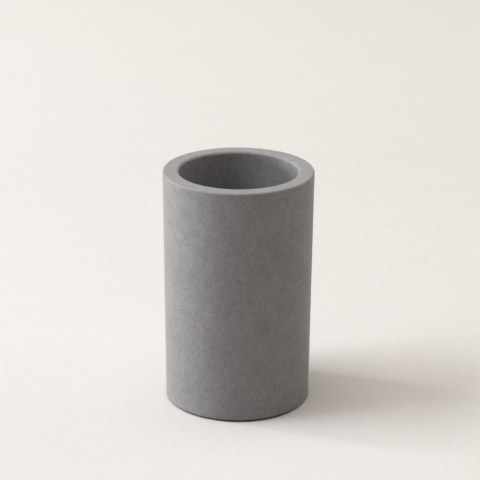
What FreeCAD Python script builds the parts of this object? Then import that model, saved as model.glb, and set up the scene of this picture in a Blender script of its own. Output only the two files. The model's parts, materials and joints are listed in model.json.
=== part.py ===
import FreeCAD, Part
import math
import os

# Bathroom tumbler: a thick-walled cup cast in one piece, with a slight draft on its
# outside, standing on a thin moulded non-slip pad that is bonded to its flat underside
# and set in from the edge. Millimetres, +Z up along the cup's axis. The origin is the
# centre of the pad's underside, on the surface that the tumbler stands on.

# Cast body
OUTER_DIAMETER = 75.0       # at the rim
BODY_HEIGHT = 119.0         # from the flat underside to the rim
DRAFT = 1.0                 # the outside leans in by this much from the rim to the underside
WALL_THICKNESS = 8.0        # at the rim
CUP_FLOOR_THICKNESS = 10.0
RIM_OUTER_ROUND = 1.0
RIM_INNER_ROUND = 1.5
CUP_CORNER_ROUND = 6.0      # inside, where the wall runs into the floor
LOWER_EDGE_ROUND = 0.3

# Bonding film between the underside and the pad
FILM_THICKNESS = 0.2
FILM_MARGIN = 0.8           # the film stops this far inside the pad's edge

# Non-slip pad
PAD_THICKNESS = 0.8
PAD_INSET = 1.0             # the pad's edge stops this far inside the casting's lower edge
PAD_EDGE_ROUND = 0.2
GROOVE_COUNT = 4            # ring grooves in the pad's underside, for grip
GROOVE_WIDTH = 1.6
GROOVE_DEPTH = 0.35
GROOVE_WALL_SLOPE = 0.2     # each groove is this much narrower per side at its bottom

# Worked out from the sizes above
outer_radius = OUTER_DIAMETER / 2
base_radius = outer_radius - DRAFT
bore_radius = outer_radius - WALL_THICKNESS
pad_radius = base_radius - PAD_INSET
film_radius = pad_radius - FILM_MARGIN
groove_pitch = pad_radius / (GROOVE_COUNT + 1)

underside_z = PAD_THICKNESS + FILM_THICKNESS
cup_floor_z = underside_z + CUP_FLOOR_THICKNESS
rim_z = underside_z + BODY_HEIGHT

AXIS_POINT = FreeCAD.Vector(0, 0, 0)
AXIS_DIRECTION = FreeCAD.Vector(0, 0, 1)
FULL_TURN = 360


class HalfSection:
    """An outline in the XZ half-plane, given by its corners and turned about the axis."""

    def __init__(self):
        self.corners = []
        self.rounds = []

    def corner(self, radius, z, rounding=0):
        """Adds a corner, with the radius of the round that softens it."""
        self.corners.append(FreeCAD.Vector(radius, 0, z))
        self.rounds.append(rounding)

    def arc(self, index):
        """The start, middle and end of the arc that softens a corner."""
        corner = self.corners[index]
        back = (self.corners[index - 1] - corner).normalize()
        ahead = (self.corners[index + 1] - corner).normalize()
        half_angle = back.getAngle(ahead) / 2
        reach = self.rounds[index] / math.tan(half_angle)
        depth = self.rounds[index] / math.sin(half_angle) - self.rounds[index]
        middle = corner + (back + ahead).normalize() * depth
        return corner + back * reach, middle, corner + ahead * reach

    def edges(self):
        """The straight edges and arcs in order, closed along the axis."""
        edges = []
        pen = self.corners[0]
        for index, corner in enumerate(self.corners[1:], start=1):
            if self.rounds[index]:
                start, middle, end = self.arc(index)
                edges.append(Part.LineSegment(pen, start).toShape())
                edges.append(Part.Arc(start, middle, end).toShape())
                pen = end
            else:
                edges.append(Part.LineSegment(pen, corner).toShape())
                pen = corner
        edges.append(Part.LineSegment(pen, self.corners[0]).toShape())
        return edges

    def turned(self):
        """The solid that the outline sweeps in a full turn."""
        face = Part.Face(Part.Wire(self.edges()))
        return face.revolve(AXIS_POINT, AXIS_DIRECTION, FULL_TURN)


def tumbler_body():
    """The casting: drafted wall, straight bore, floor, softened rim and flat underside."""
    outline = HalfSection()
    outline.corner(0, underside_z)
    outline.corner(base_radius, underside_z, LOWER_EDGE_ROUND)
    outline.corner(outer_radius, rim_z, RIM_OUTER_ROUND)
    outline.corner(bore_radius, rim_z, RIM_INNER_ROUND)
    outline.corner(bore_radius, cup_floor_z, CUP_CORNER_ROUND)
    outline.corner(0, cup_floor_z)
    return outline.turned()


def bonding_film():
    """The disc of adhesive between the casting and the pad."""
    outline = HalfSection()
    outline.corner(0, PAD_THICKNESS)
    outline.corner(film_radius, PAD_THICKNESS)
    outline.corner(film_radius, underside_z)
    outline.corner(0, underside_z)
    return outline.turned()


def base_pad():
    """The moulded pad, with ring grooves in the face that it stands on."""
    mouth = GROOVE_WIDTH / 2
    bottom = mouth - GROOVE_WALL_SLOPE
    outline = HalfSection()
    outline.corner(0, 0)
    for ring in range(1, GROOVE_COUNT + 1):
        middle = ring * groove_pitch
        outline.corner(middle - mouth, 0)
        outline.corner(middle - bottom, GROOVE_DEPTH)
        outline.corner(middle + bottom, GROOVE_DEPTH)
        outline.corner(middle + mouth, 0)
    outline.corner(pad_radius, 0, PAD_EDGE_ROUND)
    outline.corner(pad_radius, PAD_THICKNESS)
    outline.corner(0, PAD_THICKNESS)
    return outline.turned()


NODES = {
    "tumbler_body": tumbler_body,
    "bonding_film": bonding_film,
    "base_pad": base_pad,
}


def main():
    """Builds each piece, reports it and writes its STEP file."""
    os.makedirs("parts", exist_ok=True)
    for name, build in NODES.items():
        solid = build()
        box = solid.optimalBoundingBox()
        print(
            f"{name}: valid {solid.isValid()}, volume {solid.Volume:.1f} mm3, "
            f"diameter {box.XLength:.2f} mm, z {box.ZMin:.2f} to {box.ZMax:.2f} mm"
        )
        solid.exportStep(os.path.join("parts", f"{name}.step"))


main()
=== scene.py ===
import json
import logging
import math
from abc import ABC, abstractmethod
from dataclasses import dataclass
from enum import Enum
from typing import Any, ClassVar, Mapping, Sequence, Union

import bpy
from mathutils import Matrix, Vector


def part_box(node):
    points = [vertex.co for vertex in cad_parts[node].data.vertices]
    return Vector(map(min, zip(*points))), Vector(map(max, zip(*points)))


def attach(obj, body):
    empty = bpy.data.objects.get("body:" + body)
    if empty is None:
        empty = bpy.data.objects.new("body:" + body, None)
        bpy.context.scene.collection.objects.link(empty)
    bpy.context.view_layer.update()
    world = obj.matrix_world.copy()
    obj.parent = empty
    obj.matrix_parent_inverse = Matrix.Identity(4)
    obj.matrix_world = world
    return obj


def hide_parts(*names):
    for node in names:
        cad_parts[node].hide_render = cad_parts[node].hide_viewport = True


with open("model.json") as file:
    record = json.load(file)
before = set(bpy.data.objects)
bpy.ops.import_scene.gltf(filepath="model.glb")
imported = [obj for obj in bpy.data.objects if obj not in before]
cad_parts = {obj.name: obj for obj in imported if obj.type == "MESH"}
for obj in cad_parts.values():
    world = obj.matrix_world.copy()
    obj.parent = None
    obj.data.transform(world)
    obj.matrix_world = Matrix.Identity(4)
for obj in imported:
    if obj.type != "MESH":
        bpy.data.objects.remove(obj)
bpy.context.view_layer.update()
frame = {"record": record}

# A nearly straight tumbler cast in grey concrete, on a thin non-slip pad. Metres, in the CAD's frame:
# +Z runs up the cup's axis and the origin is on the surface that the tumbler stands on.

LOG = logging.getLogger("tumbler")
MM = 0.001
FULL_TURN = 2 * math.pi

Triple = tuple[float, float, float]
Number = Union["Socket", float]


class Slot(Enum):
    """The record's material slots."""

    CONCRETE = "concrete"
    ADHESIVE = "adhesive"
    PAD_RUBBER = "pad_rubber"


class Axis(Enum):
    """The parts of a vector, by their number."""

    X = 0
    Y = 1
    Z = 2


class Socket:
    """One output of a node. Sums and products of sockets add Math nodes to the tree."""

    def __init__(self, canvas: "NodeCanvas", output: bpy.types.NodeSocket) -> None:
        """Remembers where the output is."""
        self.canvas = canvas
        self.output = output

    def other(self, name: str) -> "Socket":
        """Another output of the same node."""
        return Socket(self.canvas, self.output.node.outputs[name])

    def part(self, axis: Axis) -> "Socket":
        """One part of a vector."""
        return self.canvas.node("ShaderNodeSeparateXYZ", inputs={0: self}, output=axis.value)

    def floor(self) -> "Socket":
        """The next whole number down."""
        return self.canvas.maths("FLOOR", self)

    def limited(self) -> "Socket":
        """The value, held between 0 and 1."""
        return self.canvas.node("ShaderNodeClamp", inputs={0: self})

    def __add__(self, other: Number) -> "Socket":
        """self + other."""
        return self.canvas.maths("ADD", self, other)

    def __radd__(self, other: Number) -> "Socket":
        """other + self."""
        return self.canvas.maths("ADD", other, self)

    def __sub__(self, other: Number) -> "Socket":
        """self - other."""
        return self.canvas.maths("SUBTRACT", self, other)

    def __rsub__(self, other: Number) -> "Socket":
        """other - self."""
        return self.canvas.maths("SUBTRACT", other, self)

    def __mul__(self, other: Number) -> "Socket":
        """self * other."""
        return self.canvas.maths("MULTIPLY", self, other)

    def __rmul__(self, other: Number) -> "Socket":
        """other * self."""
        return self.canvas.maths("MULTIPLY", other, self)

    def __truediv__(self, other: Number) -> "Socket":
        """self / other."""
        return self.canvas.maths("DIVIDE", self, other)

    def __rtruediv__(self, other: Number) -> "Socket":
        """other / self."""
        return self.canvas.maths("DIVIDE", other, self)


@dataclass(frozen=True)
class Pattern:
    """A smooth random pattern.

    Attributes:
        size: The size of its largest features, in metres.
        seed: Which of the noise's patterns is used.
        detail: How many finer layers are added.
        roughness: How strong each finer layer is.
    """

    size: Number
    seed: Number
    detail: float = 2.0
    roughness: float = 0.5


def opaque(colour: Triple) -> tuple[float, float, float, float]:
    """A colour with full cover, as the colour sockets take it."""
    return (*colour, 1.0)


class NodeCanvas:
    """Adds nodes to one shader or geometry tree, and links them.

    Attributes:
        NOISE_MEAN: The mean of what a noise node gives.
        tree: The tree that the nodes go into.
    """

    NOISE_MEAN: ClassVar[float] = 0.5

    def __init__(self, tree: bpy.types.NodeTree) -> None:
        """Takes the tree that the nodes go into."""
        self.tree = tree

    def node(
        self,
        kind: str,
        settings: Mapping[str, Any] | None = None,
        inputs: Mapping[str | int, Any] | None = None,
        output: str | int = 0,
    ) -> Socket:
        """Adds a node, sets it up and feeds its sockets.

        Args:
            kind: The node's type.
            settings: The node's own properties, which are set first.
            inputs: A value or a socket for each input, by name or number.
            output: The output that is wanted, by name or number.

        Returns:
            That output.
        """
        node = self.tree.nodes.new(kind)
        for name, value in (settings or {}).items():
            setattr(node, name, value)
        self.feed(node, inputs or {})
        return Socket(self, node.outputs[output])

    def feed(self, node: bpy.types.Node, inputs: Mapping[str | int, Any]) -> None:
        """Sets or links the inputs of a node.

        Args:
            node: The node.
            inputs: A value or a socket for each input, by name or number.
        """
        for key, value in inputs.items():
            if isinstance(value, Socket):
                self.tree.links.new(value.output, node.inputs[key])
            else:
                node.inputs[key].default_value = value

    def maths(self, operation: str, *terms: Number) -> Socket:
        """A Math node on one or two numbers."""
        return self.node("ShaderNodeMath", {"operation": operation}, dict(enumerate(terms)))

    def vector(self, x: Number = 0.0, y: Number = 0.0, z: Number = 0.0) -> Socket:
        """A vector from its parts."""
        return self.node("ShaderNodeCombineXYZ", inputs={0: x, 1: y, 2: z})

    def scaled(self, vector: Socket, factor: Number) -> Socket:
        """A vector or a colour times a number."""
        settings = {"operation": "SCALE"}
        return self.node("ShaderNodeVectorMath", settings, {"Vector": vector, "Scale": factor})

    def noise(self, place: Socket, pattern: Pattern) -> Socket:
        """Adds smooth noise around zero.

        Args:
            place: Where it is read, in metres.
            pattern: Its size, its seed and its layers.

        Returns:
            The noise, mostly between -0.25 and 0.25.
        """
        inputs = {
            "Vector": place,
            "W": pattern.seed,
            "Scale": 1.0 / pattern.size,
            "Detail": pattern.detail,
            "Roughness": pattern.roughness,
        }
        return self.node("ShaderNodeTexNoise", {"noise_dimensions": "4D"}, inputs) - self.NOISE_MEAN

    def bump(self, height: Socket, distance: float = 1.0) -> Socket:
        """A normal that follows a height, which is counted in the given distance, in metres."""
        return self.node("ShaderNodeBump", inputs={"Strength": 1.0, "Distance": distance, "Height": height})

    def blended(self, share: Socket, first: Triple, second: Triple) -> Socket:
        """A colour between two others, with the second one's share."""
        inputs = {"Factor": share, "A": opaque(first), "B": opaque(second)}
        return self.node("ShaderNodeMix", {"data_type": "RGBA"}, inputs, output="Result")

    def seen(self) -> Socket:
        """Tells what is looked at from what only gives light.

        Returns:
            1 for what is seen directly, mirrored or through glass, and 0 for the rest.
        """
        camera = self.node("ShaderNodeLightPath", output="Is Camera Ray")
        mirrored = self.maths("MAXIMUM", camera, camera.other("Is Glossy Ray"))
        return self.maths("MAXIMUM", mirrored, camera.other("Is Transmission Ray"))


@dataclass(frozen=True)
class Corner:
    """A corner of a half-section, and the straight run that leaves it.

    Attributes:
        radius: The corner's distance from the axis.
        height: The corner's height.
        rounding: The radius of the round that softens the corner.
        step: The longest edge along the run to the next corner.
    """

    radius: Number
    height: Number
    rounding: Number = 0.0
    step: float = 5 * MM


class TurningTree(NodeCanvas):
    """A Geometry Nodes tree that turns a half-section about the Z axis and gives it a cast skin.

    Attributes:
        SHARP_ANGLE: The angle past which an edge is shaded as a sharp one.
        MERGE_DISTANCE: How close points are joined, at the seam and the poles.
        STEP_NAME: The name under which the outline keeps the longest edge of each run.
        group_input: The node that the tree's named inputs come from.
        identifiers: The identifier of each named input.
    """

    SHARP_ANGLE: ClassVar[float] = math.radians(32)
    MERGE_DISTANCE: ClassVar[float] = 0.002 * MM
    STEP_NAME: ClassVar[str] = "run_step"

    def __init__(self, name: str) -> None:
        """Makes an empty tree with a geometry output.

        Args:
            name: The tree's name.
        """
        super().__init__(bpy.data.node_groups.new(name, "GeometryNodeTree"))
        self.tree.interface.new_socket("Geometry", in_out="OUTPUT", socket_type="NodeSocketGeometry")
        self.group_input = self.tree.nodes.new("NodeGroupInput")
        self.identifiers: dict[str, str] = {}

    def named_input(self, name: str, socket_type: str = "NodeSocketFloat") -> Socket:
        """Adds a named input to the tree.

        Args:
            name: The input's name.
            socket_type: The type of its socket.

        Returns:
            The input, for use in the tree.
        """
        item = self.tree.interface.new_socket(name, in_out="INPUT", socket_type=socket_type)
        self.identifiers[name] = item.identifier
        return Socket(self, self.group_input.outputs[name])

    def pick(self, data_type: str, values: Sequence[Any]) -> Socket:
        """A field that takes one value at each point, in the points' order.

        Args:
            data_type: The Index Switch node's type of value.
            values: A value or a socket for each point.

        Returns:
            The field.
        """
        index = self.node("GeometryNodeInputIndex")
        picked = self.node("GeometryNodeIndexSwitch", {"data_type": data_type}, {"Index": index})
        switch = picked.output.node
        for _ in range(len(values) - len(switch.index_switch_items)):
            switch.index_switch_items.new()
        self.feed(switch, {place: value for place, value in enumerate(values, start=1)})
        return Socket(self, switch.outputs[0])

    def outline(self, corners: Sequence[Corner], round_steps: int) -> Socket:
        """Draws the half-section as a curve, with its corners rounded and its runs divided.

        Args:
            corners: The half-section's corners in order, from the axis back to the axis.
            round_steps: How many edges each round has.

        Returns:
            The curve, with a point for each ring of the turned piece.
        """
        line = self.node("GeometryNodeMeshLine", inputs={"Count": len(corners)})
        places = [self.vector(corner.radius, 0.0, corner.height) for corner in corners]
        placed = self.node(
            "GeometryNodeSetPosition", inputs={"Geometry": line, "Position": self.pick("VECTOR", places)}
        )
        curve = self.node("GeometryNodeMeshToCurve", inputs={"Mesh": placed})
        stepped = self.node(
            "GeometryNodeStoreNamedAttribute",
            {"data_type": "FLOAT", "domain": "POINT"},
            {
                "Geometry": curve,
                "Name": self.STEP_NAME,
                "Value": self.pick("FLOAT", [corner.step for corner in corners]),
            },
        )
        rounded = self.node(
            "GeometryNodeFilletCurve",
            {"mode": "POLY"},
            {
                "Curve": stepped,
                "Count": round_steps,
                "Radius": self.pick("FLOAT", [corner.rounding for corner in corners]),
            },
        )
        here = self.node("GeometryNodeInputPosition")
        beyond = self.node(
            "GeometryNodeFieldAtIndex",
            {"data_type": "FLOAT_VECTOR", "domain": "POINT"},
            {"Value": here, "Index": self.node("GeometryNodeInputIndex") + 1},
        )
        length = self.node(
            "ShaderNodeVectorMath", {"operation": "DISTANCE"}, {0: here, 1: beyond}, output="Value"
        )
        step = self.node(
            "GeometryNodeInputNamedAttribute", {"data_type": "FLOAT"}, {"Name": self.STEP_NAME}
        )
        cuts = (length / step).floor()
        return self.node("GeometryNodeSubdivideCurve", inputs={"Curve": rounded, "Cuts": cuts})

    def turned(self, curve: Socket, segments: int) -> Socket:
        """Turns the half-section about the Z axis into a closed mesh.

        Args:
            curve: The half-section.
            segments: How many steps the full turn has.

        Returns:
            The mesh, with its seam and poles closed.
        """
        count = self.node(
            "GeometryNodeAttributeDomainSize", {"component": "CURVE"}, {0: curve}, output="Point Count"
        )
        grid = self.node("GeometryNodeMeshGrid", inputs={"Vertices X": segments + 1, "Vertices Y": count})
        index = self.node("GeometryNodeInputIndex")
        # Half a point is added so that a column's first point doesn't round down into the one before.
        column = ((index + 0.5) / count).floor()
        ring = self.node(
            "GeometryNodeSampleIndex",
            {"data_type": "FLOAT_VECTOR", "domain": "POINT"},
            {
                "Geometry": curve,
                "Value": self.node("GeometryNodeInputPosition"),
                "Index": index - column * count,
            },
        )
        angle = column * (FULL_TURN / segments)
        radius = ring.part(Axis.X)
        place = self.vector(
            radius * self.maths("COSINE", angle), radius * self.maths("SINE", angle), ring.part(Axis.Z)
        )
        swept = self.node("GeometryNodeSetPosition", inputs={"Geometry": grid, "Position": place})
        return self.node(
            "GeometryNodeMergeByDistance", inputs={"Geometry": swept, "Distance": self.MERGE_DISTANCE}
        )

    def sunk(self, mesh: Socket, depth: Socket) -> Socket:
        """Sinks the skin along its normal.

        Args:
            mesh: The mesh.
            depth: How deep each point sinks, in metres.

        Returns:
            The mesh with its new skin.
        """
        offset = self.scaled(self.node("GeometryNodeInputNormal"), 0.0 - depth)
        return self.node("GeometryNodeSetPosition", inputs={"Geometry": mesh, "Offset": offset})

    def finish(self, mesh: Socket, material: Socket) -> None:
        """Smooths the shading of all but the sharp edges and ends the tree.

        Args:
            mesh: The finished mesh.
            material: The material that covers it.
        """
        smooth = self.node(
            "GeometryNodeSetShadeSmooth", {"domain": "FACE"}, {"Geometry": mesh, "Shade Smooth": True}
        )
        angle = self.node("GeometryNodeInputMeshEdgeAngle", output="Unsigned Angle")
        sharp = self.maths("GREATER_THAN", angle, self.SHARP_ANGLE)
        creased = self.node(
            "GeometryNodeSetShadeSmooth",
            {"domain": "EDGE"},
            {"Geometry": smooth, "Selection": sharp, "Shade Smooth": False},
        )
        real = self.node("GeometryNodeRealizeInstances", inputs={"Geometry": creased})
        covered = self.node("GeometryNodeSetMaterial", inputs={"Geometry": real, "Material": material})
        self.feed(self.tree.nodes.new("NodeGroupOutput"), {"Geometry": covered})


class Finish(ABC):
    """A finish that covers a piece, and makes its material."""

    @abstractmethod
    def paint(self, canvas: NodeCanvas, place: Socket) -> dict[str, Any]:
        """Adds the finish's nodes.

        Args:
            canvas: The material's tree.
            place: The piece's own coordinates, in metres.

        Returns:
            What goes to each socket of the surface shader.
        """

    def material(self, name: str) -> bpy.types.Material:
        """Makes the material.

        Args:
            name: The material's name.

        Returns:
            The material.
        """
        material = bpy.data.materials.new(name)
        material.use_nodes = True
        canvas = NodeCanvas(material.node_tree)
        shader = material.node_tree.nodes["Principled BSDF"]
        canvas.feed(shader, self.paint(canvas, canvas.node("ShaderNodeTexCoord", output="Object")))
        return material


@dataclass(frozen=True)
class Concrete(Finish):
    """Smooth cast concrete: grey, clouded and mottled, with a fine sandy grain.

    Attributes:
        grey: Its mean colour.
        clouds: The pattern of its clouds.
        cloud_share: How much they change the colour.
        mottle: The pattern of the mottling within them.
        mottle_share: How much it changes the colour.
        mottle_depth: How far it stands up, in metres.
        grain: The pattern of the sandy grain.
        grain_share: How much it changes the colour.
        grain_depth: How far it stands up, in metres.
        roughness: The mean roughness.
        roughness_swing: How much the grain changes the roughness.
        gloss: The shader's specular level.
    """

    grey: Triple = (0.327, 0.318, 0.321)
    clouds: Pattern = Pattern(12 * MM, seed=3.1, detail=1.0)
    cloud_share: float = 0.22
    mottle: Pattern = Pattern(4 * MM, seed=7.7)
    mottle_share: float = 0.36
    mottle_depth: float = 0.2 * MM
    grain: Pattern = Pattern(0.4 * MM, seed=1.3, detail=0.0)
    grain_share: float = 1.18
    grain_depth: float = 0.07 * MM
    roughness: float = 0.5
    roughness_swing: float = 0.3
    gloss: float = 0.42

    def paint(self, canvas: NodeCanvas, place: Socket) -> dict[str, Any]:
        """Puts clouds, mottling and grain in the colour, and the last two in the bump.

        Args:
            canvas: The material's tree.
            place: The casting's own coordinates, in metres.

        Returns:
            What goes to each socket of the surface shader.
        """
        clouds = canvas.noise(place, self.clouds)
        mottle = canvas.noise(place, self.mottle)
        grain = canvas.noise(place, self.grain)
        tone = clouds * self.cloud_share + mottle * self.mottle_share + grain * self.grain_share
        height = mottle * self.mottle_depth + grain * self.grain_depth
        return {
            "Base Color": canvas.scaled(canvas.vector(*self.grey), 1.0 + tone),
            "Roughness": self.roughness + grain * self.roughness_swing,
            "Normal": canvas.bump(height),
            "Specular IOR Level": self.gloss,
        }


@dataclass(frozen=True)
class PadRubber(Finish):
    """Black moulded rubber with a faint bloom.

    Attributes:
        colour: The bare rubber's colour.
        bloom_colour: The bloom's colour.
        bloom: The pattern of the bloom's clouds.
        bloom_share: How much of the rubber the bloom covers on average.
        bloom_contrast: How much the clouds change that share.
        grain: The pattern of the fine grain that the mould leaves.
        grain_depth: How far the grain stands up, in metres.
        roughness: The mean roughness.
        roughness_swing: How much the clouds change the roughness.
    """

    colour: Triple = (0.02, 0.0195, 0.019)
    bloom_colour: Triple = (0.034, 0.033, 0.032)
    bloom: Pattern = Pattern(6 * MM, seed=2.4, detail=3.0)
    bloom_share: float = 0.4
    bloom_contrast: float = 2.0
    grain: Pattern = Pattern(0.5 * MM, seed=5.9)
    grain_depth: float = 0.02 * MM
    roughness: float = 0.72
    roughness_swing: float = 0.3

    def paint(self, canvas: NodeCanvas, place: Socket) -> dict[str, Any]:
        """Puts a cloudy bloom over a fine spark-eroded grain.

        Args:
            canvas: The material's tree.
            place: The pad's own coordinates, in metres.

        Returns:
            What goes to each socket of the surface shader.
        """
        clouds = canvas.noise(place, self.bloom)
        grain = canvas.noise(place, self.grain)
        share = (self.bloom_share + clouds * self.bloom_contrast).limited()
        return {
            "Base Color": canvas.blended(share, self.colour, self.bloom_colour),
            "Roughness": self.roughness + clouds * self.roughness_swing,
            "Normal": canvas.bump(grain, self.grain_depth),
        }


@dataclass(frozen=True)
class Adhesive(Finish):
    """A cream adhesive film with small trapped bubbles.

    Attributes:
        colour: The film's colour.
        bubble_colour: The bubbles' colour.
        bubbles: The pattern of the bubbles.
        bubble_contrast: How sharply the bubbles stand out.
        bubble_start: How much is taken off the pattern, so that only its peaks are bubbles.
        roughness: The film's roughness.
        bubble_smoothness: How much less rough a bubble is.
    """

    colour: Triple = (0.62, 0.6, 0.54)
    bubble_colour: Triple = (0.74, 0.73, 0.69)
    bubbles: Pattern = Pattern(2.2 * MM, seed=4.2, detail=1.0)
    bubble_contrast: float = 6.0
    bubble_start: float = 0.4
    roughness: float = 0.45
    bubble_smoothness: float = 0.15

    def paint(self, canvas: NodeCanvas, place: Socket) -> dict[str, Any]:
        """Puts pale bubbles in the film.

        Args:
            canvas: The material's tree.
            place: The film's own coordinates, in metres.

        Returns:
            What goes to each socket of the surface shader.
        """
        bubbles = canvas.noise(place, self.bubbles)
        share = (bubbles * self.bubble_contrast - self.bubble_start).limited()
        return {
            "Base Color": canvas.blended(share, self.colour, self.bubble_colour),
            "Roughness": self.roughness - share * self.bubble_smoothness,
        }


@dataclass
class TurnedPiece(ABC):
    """A piece of revolution about the tumbler's axis, which stands for one CAD node.

    Attributes:
        node: The CAD node's name.
        slot: The record's material slot.
        finish: The finish that covers the piece.
        segments: How many steps the full turn has.
        round_steps: How many edges each rounded corner has.
    """

    segments: int = 256
    round_steps: int = 8

    node: ClassVar[str]
    slot: ClassVar[Slot]
    finish: ClassVar[Finish]

    @property
    def low(self) -> Vector:
        """The lowest corner of the CAD node's box."""
        return Vector(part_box(self.node)[0])

    @property
    def high(self) -> Vector:
        """The highest corner of the CAD node's box."""
        return Vector(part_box(self.node)[1])

    @abstractmethod
    def sizes(self) -> dict[str, float]:
        """The values of the tree's named inputs."""

    @abstractmethod
    def corners(self, size: Mapping[str, Socket]) -> list[Corner]:
        """The half-section.

        Args:
            size: The tree's named inputs.

        Returns:
            The corners in order, from the axis on the underside back to the axis on top.
        """

    def skin(self, tree: TurningTree, size: Mapping[str, Socket], mesh: Socket) -> Socket:
        """Gives the turned mesh its skin, which is plain unless a piece says otherwise.

        Args:
            tree: The tree.
            size: The tree's named inputs.
            mesh: The turned mesh.

        Returns:
            The mesh with its skin.
        """
        return mesh

    def build(self) -> bpy.types.Object:
        """Makes the piece's mesh with Geometry Nodes.

        Returns:
            The object, with a plain mesh and its material.
        """
        values = self.sizes()
        tree = TurningTree(f"{self.node}_turning")
        size = {name: tree.named_input(name) for name in values}
        material = tree.named_input("Material", "NodeSocketMaterial")
        outline = tree.outline(self.corners(size), self.round_steps)
        mesh = self.skin(tree, size, tree.turned(outline, self.segments))
        tree.finish(mesh, material)

        blank = bpy.data.meshes.new(f"{self.node}_blank")
        piece = bpy.data.objects.new(f"{self.node}_turned", blank)
        bpy.context.scene.collection.objects.link(piece)
        modifier = piece.modifiers.new("turning", "NODES")
        modifier.node_group = tree.tree
        for name, value in values.items():
            modifier[tree.identifiers[name]] = value
        modifier[tree.identifiers["Material"]] = self.finish.material(f"{self.node}_finish")
        graph = bpy.context.evaluated_depsgraph_get()
        piece.data = bpy.data.meshes.new_from_object(piece.evaluated_get(graph), depsgraph=graph)
        piece.modifiers.remove(modifier)
        # The tree leaves an empty material slot in front of the finish.
        piece.data.materials.pop(index=0)
        bpy.data.meshes.remove(blank)
        return piece

    def dress(self) -> None:
        """Builds the piece, puts it in its CAD node's place and reports it."""
        piece = self.build()
        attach(piece, "root")
        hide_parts(self.node)
        LOG.info("%s: %d vertices, %d faces", piece.name, len(piece.data.vertices), len(piece.data.polygons))


@dataclass
class CastBody(TurnedPiece):
    """The cast cup.

    Attributes:
        draft: How far the outside leans in from the rim to the underside.
        lower_round: The round of the lower outer edge.
        rim_outer_round: The round of the rim's outer edge.
        rim_inner_round: The round of the rim's inner edge.
        corner_round: The round inside, between wall and floor.
        floor_thickness: How thick the cup's floor is.
        wave_size: The size of the shallow waves that the mould leaves.
        wave_depth: How deep those waves are.
        wave_fade: How far above the underside they reach their full depth.
        seed: Which pattern of waves is used.
        underside_step: The longest edge across the underside.
        wall_step: The longest edge up the outer wall.
        rim_step: The longest edge across the rim.
        bore_step: The longest edge down the bore.
        floor_step: The longest edge across the cup's floor.
    """

    node: ClassVar[str] = "tumbler_body"
    slot: ClassVar[Slot] = Slot.CONCRETE
    finish: ClassVar[Finish] = Concrete()

    draft: float = 1.0 * MM
    lower_round: float = 0.3 * MM
    rim_outer_round: float = 1.0 * MM
    rim_inner_round: float = 1.5 * MM
    corner_round: float = 6.0 * MM
    floor_thickness: float = 10.0 * MM
    wave_size: float = 9.0 * MM
    wave_depth: float = 0.12 * MM
    wave_fade: float = 2 * MM
    seed: float = 11.0
    underside_step: float = 8 * MM
    wall_step: float = 1.1 * MM
    rim_step: float = 0.6 * MM
    bore_step: float = 1.6 * MM
    floor_step: float = 2 * MM

    def sizes(self) -> dict[str, float]:
        """Gathers the casting's sizes, with its box and bore from the CAD.

        Returns:
            The values of the tree's named inputs.
        """
        mounts = {mount["name"]: mount for mount in frame["record"]["mounts"]}
        return {
            "Rim radius": self.high.x,
            "Base radius": self.high.x - self.draft,
            "Bore radius": mounts["cup_bore"]["dims"]["r_mm"] * MM,
            "Underside": self.low.z,
            "Cup floor": self.low.z + self.floor_thickness,
            "Rim": self.high.z,
            "Lower round": self.lower_round,
            "Rim outer round": self.rim_outer_round,
            "Rim inner round": self.rim_inner_round,
            "Corner round": self.corner_round,
            "Wave size": self.wave_size,
            "Wave depth": self.wave_depth,
            "Seed": self.seed,
        }

    def corners(self, size: Mapping[str, Socket]) -> list[Corner]:
        """Goes round the underside, the outer wall, the rim, the bore and the cup's floor.

        Args:
            size: The tree's named inputs.

        Returns:
            The corners in order, from the axis on the underside back to the axis on the cup's floor.
        """
        return [
            Corner(0.0, size["Underside"], step=self.underside_step),
            Corner(size["Base radius"], size["Underside"], size["Lower round"], self.wall_step),
            Corner(size["Rim radius"], size["Rim"], size["Rim outer round"], self.rim_step),
            Corner(size["Bore radius"], size["Rim"], size["Rim inner round"], self.bore_step),
            Corner(size["Bore radius"], size["Cup floor"], size["Corner round"], self.floor_step),
            Corner(0.0, size["Cup floor"]),
        ]

    def skin(self, tree: TurningTree, size: Mapping[str, Socket], mesh: Socket) -> Socket:
        """Sinks shallow waves all over but into the underside, which stays flat for the pad.

        Args:
            tree: The tree.
            size: The tree's named inputs.
            mesh: The turned mesh.

        Returns:
            The mesh with its waves.
        """
        place = tree.node("GeometryNodeInputPosition")
        waves = tree.noise(place, Pattern(size["Wave size"], size["Seed"]))
        above = ((place.part(Axis.Z) - size["Underside"]) / self.wave_fade).limited()
        return tree.sunk(mesh, (waves + tree.NOISE_MEAN).limited() * size["Wave depth"] * above)


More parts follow.
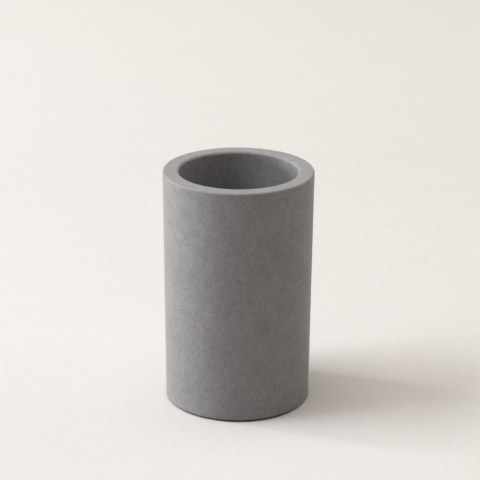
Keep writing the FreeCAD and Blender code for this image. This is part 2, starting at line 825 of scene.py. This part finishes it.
@dataclass
class BasePad(TurnedPiece):
    """The moulded non-slip pad, with ring grooves in its underside.

    Attributes:
        edge_round: The round of its lower edge.
        rings: How many grooves it has.
        groove_width: How wide a groove is at its mouth.
        groove_depth: How deep a groove is.
        groove_slope: How much narrower a groove is on each side at its bottom.
    """

    node: ClassVar[str] = "base_pad"
    slot: ClassVar[Slot] = Slot.PAD_RUBBER
    finish: ClassVar[Finish] = PadRubber()

    edge_round: float = 0.2 * MM
    rings: int = 4
    groove_width: float = 1.6 * MM
    groove_depth: float = 0.35 * MM
    groove_slope: float = 0.2 * MM

    def sizes(self) -> dict[str, float]:
        """Gathers the pad's sizes, with its box from the CAD.

        Returns:
            The values of the tree's named inputs.
        """
        return {
            "Radius": self.high.x,
            "Bottom": self.low.z,
            "Top": self.high.z,
            "Edge round": self.edge_round,
            "Groove pitch": self.high.x / (self.rings + 1),
            "Groove width": self.groove_width,
            "Groove depth": self.groove_depth,
            "Groove slope": self.groove_slope,
        }

    def corners(self, size: Mapping[str, Socket]) -> list[Corner]:
        """Goes round the underside with its grooves, the edge and the top.

        Args:
            size: The tree's named inputs.

        Returns:
            The corners in order, from the axis on the underside back to the axis on top.
        """
        bottom = size["Bottom"]
        roof = bottom + size["Groove depth"]
        mouth = size["Groove width"] / 2
        throat = mouth - size["Groove slope"]
        corners = [Corner(0.0, bottom)]
        for ring in range(1, self.rings + 1):
            middle = size["Groove pitch"] * ring
            corners += [
                Corner(middle - mouth, bottom),
                Corner(middle - throat, roof),
                Corner(middle + throat, roof),
                Corner(middle + mouth, bottom),
            ]
        return corners + [
            Corner(size["Radius"], bottom, size["Edge round"]),
            Corner(size["Radius"], size["Top"]),
            Corner(0.0, size["Top"]),
        ]


@dataclass
class BondingFilm(TurnedPiece):
    """The disc of adhesive that holds the pad."""

    node: ClassVar[str] = "bonding_film"
    slot: ClassVar[Slot] = Slot.ADHESIVE
    finish: ClassVar[Finish] = Adhesive()

    def sizes(self) -> dict[str, float]:
        """The film's box from the CAD."""
        return {"Radius": self.high.x, "Bottom": self.low.z, "Top": self.high.z}

    def corners(self, size: Mapping[str, Socket]) -> list[Corner]:
        """Goes round a thin flat disc.

        Args:
            size: The tree's named inputs.

        Returns:
            The corners in order, from the axis on the underside back to the axis on top.
        """
        return [
            Corner(0.0, size["Bottom"]),
            Corner(size["Radius"], size["Bottom"]),
            Corner(size["Radius"], size["Top"]),
            Corner(0.0, size["Top"]),
        ]


@dataclass(frozen=True)
class SoftBox:
    """A soft lamp: a flat panel that faces the tumbler.

    Attributes:
        AIM: The point that it faces, halfway up the tumbler.
        name: The lamp's name.
        azimuth: Its direction, in degrees from +X towards +Y.
        elevation: Its height above the horizon, in degrees.
        size: The panel's width and height, in metres.
        power: Its power, in watts.
        colour: The light's colour.
        distance: How far it is from the tumbler, in metres.
    """

    AIM: ClassVar[Vector] = Vector((0.0, 0.0, 0.06))

    name: str
    azimuth: float
    elevation: float
    size: tuple[float, float]
    power: float
    colour: Triple
    distance: float = 2.5

    def build(self) -> None:
        """Hangs the lamp in the scene."""
        lamp = bpy.data.lights.new(self.name, "AREA")
        lamp.shape = "RECTANGLE"
        lamp.size, lamp.size_y = self.size
        lamp.energy = self.power
        lamp.color = self.colour
        panel = bpy.data.objects.new(self.name, lamp)
        turn, rise = math.radians(self.azimuth), math.radians(self.elevation)
        away = Vector((math.cos(turn) * math.cos(rise), math.sin(turn) * math.cos(rise), math.sin(rise)))
        panel.location = self.AIM + away * self.distance
        panel.rotation_euler = away.to_track_quat("Z", "Y").to_euler()
        bpy.context.scene.collection.objects.link(panel)


@dataclass(frozen=True)
class Viewpoint:
    """The camera: where it stands and how it is held.

    Attributes:
        place: Its place, in metres.
        pitch: How far it looks down, in degrees.
        yaw: How far it looks to the right of +Y, in degrees.
        roll: How far it is turned anticlockwise about its view, in degrees.
        view_angle: The angle of view across the frame, in degrees.
        nearest: How close to it things are still seen, in metres.
    """

    place: Triple = (-0.00029, -0.84107, 0.39202)
    pitch: float = 20.174
    yaw: float = 0.0813
    roll: float = 0.3591
    view_angle: float = 15.229
    nearest: float = 0.01

    def build(self) -> None:
        """Sets the camera up and makes it the scene's own."""
        pitch, yaw, roll = map(math.radians, (self.pitch, self.yaw, self.roll))
        ahead = Vector(
            (math.sin(yaw) * math.cos(pitch), math.cos(yaw) * math.cos(pitch), -math.sin(pitch))
        )
        level = Vector((math.cos(yaw), -math.sin(yaw), 0.0))
        upright = level.cross(ahead)
        right = level * math.cos(roll) + upright * math.sin(roll)
        up = upright * math.cos(roll) - level * math.sin(roll)
        turn = Matrix((right, up, -ahead)).transposed().to_4x4()
        lens = bpy.data.cameras.new("viewpoint")
        lens.sensor_fit = "HORIZONTAL"
        lens.angle = math.radians(self.view_angle)
        lens.clip_start = self.nearest
        camera = bpy.data.objects.new("viewpoint", lens)
        camera.matrix_world = Matrix.Translation(self.place) @ turn
        bpy.context.scene.collection.objects.link(camera)
        bpy.context.scene.camera = camera


@dataclass(frozen=True)
class FloorPaper(Finish):
    """Warm white paper that the tumbler stands on.

    Attributes:
        colour: Its colour.
        painted_light_lift: How much painted light makes it paler far behind the tumbler, where more light
            would fall.
        painted_light_start: How far behind the tumbler the painted light begins, in metres.
        painted_light_end: How far behind the tumbler the painted light is strongest, in metres.
        clouds: The pattern of its faint clouds.
        cloud_share: How much they change the colour.
        grain: The pattern of its faint grain.
        grain_length: How much longer than wide the grain is, along the paper.
        grain_share: How much it changes the colour.
        bounce: The share of the colour that the light which it throws back has.
        roughness: Its roughness.
        gloss: The shader's specular level.
    """

    colour: Triple = (0.906, 0.866, 0.836)
    painted_light_lift: float = 0.1
    painted_light_start: float = 0.4
    painted_light_end: float = 0.9
    clouds: Pattern = Pattern(60 * MM, seed=8.3, detail=3.0)
    cloud_share: float = 0.03
    grain: Pattern = Pattern(4 * MM, seed=6.1, detail=3.0, roughness=0.8)
    grain_length: float = 2.5
    grain_share: float = 0.12
    bounce: float = 0.5
    roughness: float = 0.9
    gloss: float = 0.2

    def paint(self, canvas: NodeCanvas, place: Socket) -> dict[str, Any]:
        """Puts faint clouds and grain in the colour.

        Far behind the tumbler painted light makes the colour paler, and where the floor only gives light it
        is dimmer.

        Args:
            canvas: The material's tree.
            place: The floor's own coordinates, in metres.

        Returns:
            What goes to each socket of the surface shader.
        """
        clouds = canvas.noise(place, self.clouds) * self.cloud_share
        along = canvas.vector(place.part(Axis.X), place.part(Axis.Y) / self.grain_length)
        grain = canvas.noise(along, self.grain) * self.grain_share
        # Painted light: the paper's colour is made paler far behind the tumbler, in place of more light
        # falling there.
        far = ((place.part(Axis.Y) - self.painted_light_start) / (self.painted_light_end - self.painted_light_start)).limited()
        share = self.bounce + canvas.seen() * (1.0 - self.bounce)
        tone = (1.0 + clouds + grain + far * self.painted_light_lift) * share
        colour = canvas.scaled(canvas.vector(*self.colour), tone)
        return {"Base Color": colour, "Roughness": self.roughness, "Specular IOR Level": self.gloss}


@dataclass
class Studio:
    """The floor, the light and the camera.

    Attributes:
        floor_size: The floor's length and width, in metres.
        lamps: The soft lamps.
        ambient: The colour of the light from all round.
        ambient_level: How strong it is.
        backdrop: The colour that is seen beyond the floor.
        viewpoint: The camera.
    """

    floor_size: float = 12.0
    lamps: tuple[SoftBox, ...] = (
        SoftBox(
            name="low_window",
            azimuth=168.0,
            elevation=6.0,
            size=(0.7, 0.55),
            power=39.4,
            colour=(1.0, 0.99, 0.98),
        ),
        SoftBox(
            name="side_panel",
            azimuth=187.0,
            elevation=46.0,
            size=(0.7, 1.0),
            power=20.5,
            colour=(0.873, 0.94, 1.0),
        ),
        SoftBox(
            name="front_panel",
            azimuth=200.0,
            elevation=38.0,
            size=(0.5, 0.5),
            power=5.0,
            colour=(0.98, 0.983, 1.0),
        ),
        SoftBox(
            name="back_strip",
            azimuth=162.0,
            elevation=56.0,
            size=(0.16, 0.5),
            power=5.7,
            colour=(0.931, 0.968, 1.0),
        ),
        SoftBox(
            name="overhead",
            azimuth=180.0,
            elevation=84.0,
            size=(1.6, 1.6),
            power=23.2,
            colour=(1.0, 0.967, 0.932),
        ),
        SoftBox(
            name="right_fill",
            azimuth=20.0,
            elevation=38.0,
            size=(3.0, 2.4),
            power=11.4,
            colour=(1.0, 0.944, 0.853),
        ),
    )
    ambient: Triple = (1.0, 0.937, 0.886)
    ambient_level: float = 0.174
    backdrop: Triple = (0.87, 0.83, 0.8)
    viewpoint: Viewpoint = Viewpoint()

    def lay_floor(self) -> None:
        """Lays the floor that the tumbler stands on."""
        half = self.floor_size / 2
        corners = [(-half, -half, 0.0), (half, -half, 0.0), (half, half, 0.0), (-half, half, 0.0)]
        mesh = bpy.data.meshes.new("floor")
        mesh.from_pydata(corners, [], [(0, 1, 2, 3)])
        mesh.materials.append(FloorPaper().material("floor_paper"))
        floor = bpy.data.objects.new("floor", mesh)
        bpy.context.scene.collection.objects.link(floor)

    def set_ambient(self) -> None:
        """Lights the scene evenly from all round, in front of a pale backdrop."""
        world = bpy.data.worlds.new("surround")
        world.use_nodes = True
        bpy.context.scene.world = world
        canvas = NodeCanvas(world.node_tree)
        glow = canvas.node(
            "ShaderNodeBackground", inputs={"Color": opaque(self.ambient), "Strength": self.ambient_level}
        )
        backdrop = canvas.node(
            "ShaderNodeBackground", inputs={"Color": opaque(self.backdrop), "Strength": 1.0}
        )
        surround = canvas.node("ShaderNodeMixShader", inputs={0: canvas.seen(), 1: glow, 2: backdrop})
        canvas.feed(world.node_tree.nodes["World Output"], {"Surface": surround})

    def build(self) -> None:
        """Sets up the floor, the light, the camera and the picture's colours."""
        self.lay_floor()
        self.set_ambient()
        for lamp in self.lamps:
            lamp.build()
        self.viewpoint.build()
        bpy.context.scene.view_settings.view_transform = "Standard"


def main() -> None:
    """Builds the tumbler's pieces in order, and the studio around them."""
    logging.basicConfig(level=logging.INFO, format="%(name)s: %(message)s")
    for piece in (CastBody(), BondingFilm(), BasePad()):
        piece.dress()
    Studio().build()


if __name__ == "__main__":
    main()
